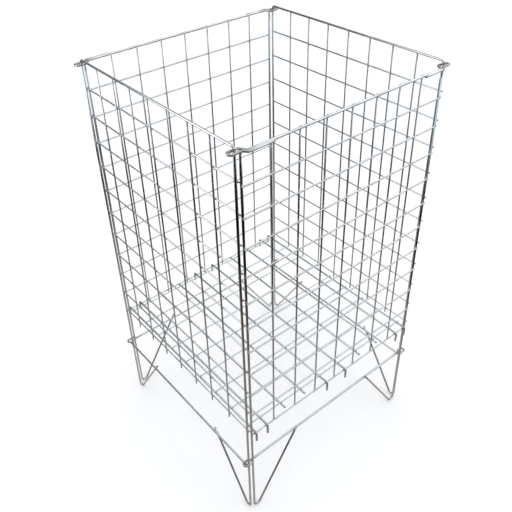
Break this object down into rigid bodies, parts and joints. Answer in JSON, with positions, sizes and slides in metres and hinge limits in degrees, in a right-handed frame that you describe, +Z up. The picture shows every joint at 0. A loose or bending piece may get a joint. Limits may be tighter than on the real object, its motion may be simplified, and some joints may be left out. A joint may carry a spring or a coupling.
{
  "type": "wire dump bin",
  "caption": "Tall square wire mesh dump bin on V-shaped wire feet, with corner eyes joining the panels and a hooked wire tray as its base.",
  "frame": {"origin": "on the floor, in the middle of the bin", "axes": "+Z up; -Y the front; +X to the right seen from the front"},
  "size_m": [0.438, 0.429, 0.779],
  "materials": {
    "frame_wire": "bright zinc-plated drawn steel wire, with small weld marks",
    "mesh_wire": "bright zinc-plated thin steel wire",
    "tray_wire": "bright zinc-plated steel wire with a faint blue passivation tint"
  },
  "bodies": {
    "frame": {"front_top_rail": "frame_wire", "front_bottom_rail": "frame_wire", "front_left_leg": "frame_wire", "front_right_leg": "frame_wire", "front_uprights": "mesh_wire", "front_cross_wires": "mesh_wire", "back_top_rail": "frame_wire", "back_bottom_rail": "frame_wire", "back_left_leg": "frame_wire", "back_right_leg": "frame_wire", "back_uprights": "mesh_wire", "back_cross_wires": "mesh_wire", "left_hoop": "frame_wire", "left_bottom_rail": "frame_wire", "left_uprights": "mesh_wire", "left_cross_wires": "mesh_wire", "right_hoop": "frame_wire", "right_bottom_rail": "frame_wire", "right_uprights": "mesh_wire", "right_cross_wires": "mesh_wire"},
    "tray": {"tray_left_edge_hook_wire": "tray_wire", "tray_left_outer_hook_wire": "tray_wire", "tray_left_middle_hook_wire": "tray_wire", "tray_right_middle_hook_wire": "tray_wire", "tray_right_outer_hook_wire": "tray_wire", "tray_right_edge_hook_wire": "tray_wire", "tray_left_outer_plain_wire": "tray_wire", "tray_left_inner_plain_wire": "tray_wire", "tray_right_inner_plain_wire": "tray_wire", "tray_right_outer_plain_wire": "tray_wire", "tray_cross_wires": "tray_wire"}
  },
  "joints": [
    {"name": "tray_lift", "type": "slide", "parent": "frame", "child": "tray", "axis": [0, 0, 1], "range_m": [0, 0.04]}
  ]
}
